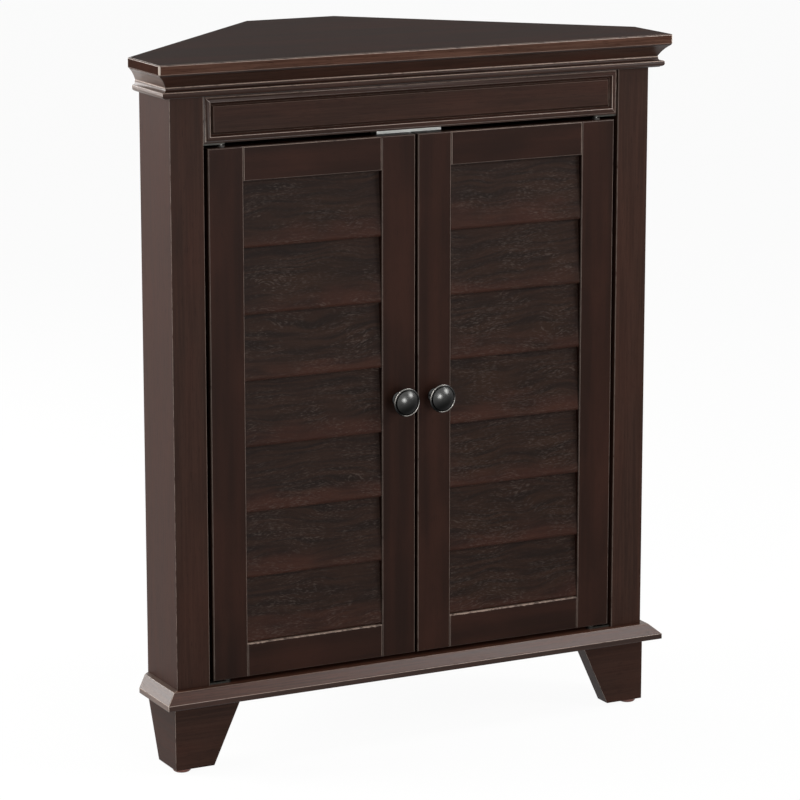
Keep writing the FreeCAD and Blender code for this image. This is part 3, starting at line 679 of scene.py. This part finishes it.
def make_catch_screws(fittings, steel):
    """Two screws up through the catch, and one sunk in each strike."""
    low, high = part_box("magnetic_catch")
    middle = (low + high) / 2
    spots = [Vector((way * fittings.catch_screw, middle.y, low.z)) for way in (-1, 1)]
    screw_group("catch_screws", spots, DOWN, "cabinet", fittings, steel)
    sunk = 0.85 * fittings.screw_height
    for side in SIDES:
        low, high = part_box(side + "_door_strike")
        spot = Vector(((low.x + high.x) / 2, high.y - sunk, (low.z + high.z) / 2))
        screw_group(side + "_door_strike_screw", [spot], BACK, side + "_door", fittings, steel)


# Stage

def seen_directly(tree):
    """1 where the camera, a reflection or a refraction sees the surroundings, and 0 for their light."""
    rays = put(tree, "LightPath").outputs
    shown = put(tree, "Math", {0: rays["Is Camera Ray"], 1: rays["Is Glossy Ray"]}, operation="MAXIMUM")
    return put(tree, "Math", {0: shown, 1: rays["Is Transmission Ray"]}, operation="MAXIMUM")


def pale_floor(name, studio):
    """Seamless white paper: matt, with the object's shadow kept faint on it."""
    material = bpy.data.materials.new(name)
    tree = empty_tree(material)
    paper = put(tree, "BsdfDiffuse", {"Color": linear("#e9e9e7")})
    glow = put(tree, "Emission", {"Color": linear("#ffffff"), "Strength": 1.0})
    share = put(tree, "Math", {0: seen_directly(tree), 1: studio.floor_share}, operation="MULTIPLY")
    put(tree, "OutputMaterial", {"Surface": put(tree, "MixShader", {0: share, 1: paper, 2: glow})})
    return material


def white_surround(studio):
    """A white background, whose light on the object is set apart from its look."""
    world = bpy.data.worlds.new("surround")
    tree = empty_tree(world)
    strength = put(tree, "MapRange", {"Value": seen_directly(tree), "To Min": studio.ambient, "To Max": 1.0})
    light = put(tree, "Background", {"Color": linear("#ffffff"), "Strength": strength})
    put(tree, "OutputWorld", {"Surface": light})
    bpy.context.scene.world = world


def make_lamps():
    """Round soft lamps: direction from the object, distance, width and power."""
    centre = (cad_low + cad_high) / 2
    lamps = [
        ("front_lamp", (-0.03, -1.0, 0.1), 2.5, 0.75, 24),
        ("key_lamp", (0.61, -0.70, 0.39), 2.1, 0.7, 16),
        ("overhead_lamp", (0.6, -0.275, 0.75), 2.65, 1.1, 34),
        ("left_lamp", (-0.85, 0.4, 0.3), 2.6, 1.4, 88),
        ("rim_lamp", (-0.05, 0.87, 0.5), 2.6, 1.2, 14),
        ("return_lamp", (-0.39, 0.875, 0.29), 2.6, 0.9, 12),
    ]
    for name, direction, distance, width, power in lamps:
        light = bpy.data.lights.new(name, "AREA")
        light.shape = "DISK"
        light.size = width
        light.energy = power
        lamp = add_object(name, light)
        away = Vector(direction).normalized()
        lamp.location = centre + away * distance
        lamp.rotation_euler = away.to_track_quat("Z", "Y").to_euler()
        lamp.visible_camera = False


def make_stage(studio):
    """A pale floor, soft lamps, a white surround and the camera."""
    scene = bpy.context.scene
    scene.view_settings.view_transform = "Standard"
    bm = bmesh.new()
    bmesh.ops.create_circle(bm, cap_ends=True, radius=30.0, segments=64)
    floor = add_object("floor", as_mesh("floor", bm))
    floor.data.materials.append(pale_floor("pale_floor", studio))
    white_surround(studio)
    make_lamps()

    data = bpy.data.cameras.new("camera")
    data.lens = studio.lens
    camera = add_object("camera", data)
    azimuth, elevation = studio.azimuth, studio.elevation
    back = Vector((
        math.sin(azimuth) * math.cos(elevation),
        -math.cos(azimuth) * math.cos(elevation),
        math.sin(elevation),
    ))
    camera.location = Vector(studio.target) + back * studio.distance
    camera.rotation_euler = back.to_track_quat("Z", "Y").to_euler()
    scene.camera = camera


# Operators

class CABINET_OT_woodwork(bpy.types.Operator):
    """Stain the boards, mouldings and feet, paint light and shade on some faces and arrises, and ease their
    arrises
    """

    bl_idname = "cabinet.woodwork"
    bl_label = "Finish the woodwork"

    def execute(self, context):
        finish = context.scene.cabinet_finish
        stained = of_slot("stained_wood")
        kinds = {
            "slat": [name for name in stained if "_slat_" in name],
            "top_rail": [name for name in stained if name.endswith("door_top_rail")],
            "worn_rail": [name for name in stained if name.endswith("door_bottom_rail")],
            "post": [name for name in stained if name.startswith("post_")],
            "foot": [name for name in stained if name.startswith("foot_")],
            "side": [name for name in stained if name.startswith("side_panel_")],
            "crown": ["crown_front"],
            "base": ["base_front"],
            "return": ["crown_left", "crown_right", "base_left", "base_right"],
            "bead": [name for name in stained if name.startswith("frieze_beads")],
            "frieze": [name for name in stained if name in ("frieze_board", "frieze_rail")],
            "top": ["top_panel"],
        }
        apart = {name for names in kinds.values() for name in names}
        kinds["door"] = [name for name in stained if name not in apart]
        plain = {"stain": finish.stain_mid}
        side = {"stain": finish.side_stain}
        # The sides' lighter colour is partly painted light.
        door = {"stain": finish.door_stain}
        # The bottom rails' pale top edge is partly wear and partly a painted highlight.
        worn = {**door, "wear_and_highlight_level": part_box("left_door_bottom_rail")[1].z}
        crown = {**plain, "gloss": 0.1, "rough": 0.32, "relief": 0.02}
        # The crown's top arris, tucked under the top board, is given painted shade.
        crown_shaded_under_top = {**crown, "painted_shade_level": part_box("crown_front")[1].z}
        # The base is darker on its upright faces and lighter, as painted light, where it faces up or sideways.
        band = (finish.stain_mid, finish.base_stain)
        # The beads' sideways faces take the returns' painted highlight.
        bead = {**crown, "edges": (finish.stain_mid, finish.end_stain)}
        base = {"stain": finish.base_stain, "gloss": 0.17, "rough": 0.3, "edges": band}
        # The short returns are lighter as a painted highlight.
        short = {"stain": finish.end_stain, "gloss": 0.35, "rough": 0.36}
        slab = (finish.edge_stain, finish.stain_mid)
        top = {"stain": finish.top_stain, "gloss": 0.002, "edges": slab, "corner": 1.0}
        arris, wide = finish.arris, finish.wide_arris

        # The look of each group's faces, then the rub and painted highlight, gloss, share of worn and highlit
        # corner and width of its arrises.
        looks = {
            "door": (door, 0.16, 0.22, 0.15, arris),
            "top_rail": (door, 0.45, 0.3, 0.15, arris),
            "worn_rail": (worn, 0.2, 0.22, 0.15, arris),
            "post": (plain, 0.1, 0.1, 0.2, arris),
            "foot": (plain, 0.25, 0.3, 0.5, arris),
            "side": (side, 0.15, 0.1, 0.6, arris),
            "crown": (crown_shaded_under_top, 0.75, 0.4, 0.5, wide),
            "base": (base, 0.4, 0.5, 1.0, wide),
            "return": (short, 0.6, 0.5, 1.0, wide),
            "bead": (bead, 0.6, 0.8, 0.5, arris),
            "frieze": (plain, 0.15, 0.1, 0.0, arris),
            "top": (top, 0.7, 0.5, 1.0, arris),
        }
        for label, (look, rubbed, gloss, corner, width) in looks.items():
            stain_boards(label, kinds[label], finish, look, rubbed, gloss, corner, width)
        for slot, wood in (("stained_board", thin_stained_board), ("inside_wood", sawn_bare_wood)):
            boards = of_slot(slot)
            dress(boards, lambda axis: [wood(wood.__name__ + "_along_" + axis.lower(), axis, finish)])
            ease_arrises(boards, arris)
        return {"FINISHED"}


class CABINET_OT_slats(bpy.types.Operator):
    """Stain the open-grained slats of both doors"""

    bl_idname = "cabinet.slats"
    bl_label = "Finish the slats"

    def execute(self, context):
        finish = context.scene.cabinet_finish
        material = open_grained_slat("open_grained_slat", finish)
        give([name for name in nodes if "_slat_" in name], [material])
        return {"FINISHED"}


class CABINET_OT_knobs(bpy.types.Operator):
    """Turn both knobs"""

    bl_idname = "cabinet.knobs"
    bl_label = "Make the knobs"

    def execute(self, context):
        make_knobs(context.scene.cabinet_fittings)
        return {"FINISHED"}


class CABINET_OT_hardware(bpy.types.Operator):
    """Finish the hinges, strikes, catch, pegs and glides, and add their screws"""

    bl_idname = "cabinet.hardware"
    bl_label = "Finish the hardware"

    def execute(self, context):
        fittings = context.scene.cabinet_fittings
        low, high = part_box("right_door_hinge_bushes")
        pivot = (low + high) / 2
        steel = plated_metal("zinc_plated_steel", fittings.plate_metal, 0.34, "X")
        pins = {"pin": pivot, "pin_metal": fittings.plate_metal, "pin_radius": 0.55 * fittings.pin_diameter}
        # The hinge plates and their screws are painted darker than the plain steel, as painted shade.
        dark = plated_metal("shade_darkened_zinc_plated_steel", fittings.hinge_metal, 0.4, "X", **pins)
        finishes = {
            "steel": steel,
            "catch_aluminium": plated_metal("satin_aluminium", fittings.catch_metal, 0.4, "X"),
            "bush_plastic": moulded_plastic("bush_nylon", fittings.bush_nylon, 0.5),
            "brown_plastic": moulded_plastic("brown_glide_plastic", fittings.glide_plastic, 0.38),
        }
        for slot, material in finishes.items():
            give(of_slot(slot), [material])
        give(["hinge_plates"], [dark])
        make_hinge_screws(fittings, dark, pivot)
        make_catch_screws(fittings, steel)
        make_knob_screws(fittings, steel)
        return {"FINISHED"}


class CABINET_OT_stage(bpy.types.Operator):
    """Set the floor, the lamps and the camera"""

    bl_idname = "cabinet.stage"
    bl_label = "Set the stage"

    def execute(self, context):
        make_stage(context.scene.cabinet_studio)
        return {"FINISHED"}


class CABINET_PT_sidebar(bpy.types.Panel):
    """Lists the steps that finish the cabinet"""

    bl_idname = "CABINET_PT_sidebar"
    bl_label = "Corner Cabinet"
    bl_space_type = "VIEW_3D"
    bl_region_type = "UI"
    bl_category = "Cabinet"

    def draw(self, context):
        for step in STEPS:
            self.layout.operator(step.bl_idname)


GROUPS = (CabinetFinish, CabinetFittings, CabinetStudio)
STEPS = (CABINET_OT_woodwork, CABINET_OT_slats, CABINET_OT_hardware, CABINET_OT_knobs, CABINET_OT_stage)


def register():
    for item in (*GROUPS, *STEPS, CABINET_PT_sidebar):
        bpy.utils.register_class(item)
    bpy.types.Scene.cabinet_finish = PointerProperty(type=CabinetFinish)
    bpy.types.Scene.cabinet_fittings = PointerProperty(type=CabinetFittings)
    bpy.types.Scene.cabinet_studio = PointerProperty(type=CabinetStudio)


def unregister():
    del bpy.types.Scene.cabinet_studio
    del bpy.types.Scene.cabinet_fittings
    del bpy.types.Scene.cabinet_finish
    for item in reversed((*GROUPS, *STEPS, CABINET_PT_sidebar)):
        bpy.utils.unregister_class(item)


def main():
    register()
    bpy.ops.cabinet.woodwork()
    bpy.ops.cabinet.slats()
    bpy.ops.cabinet.hardware()
    bpy.ops.cabinet.knobs()
    bpy.ops.cabinet.stage()


if __name__ == "__main__":
    main()
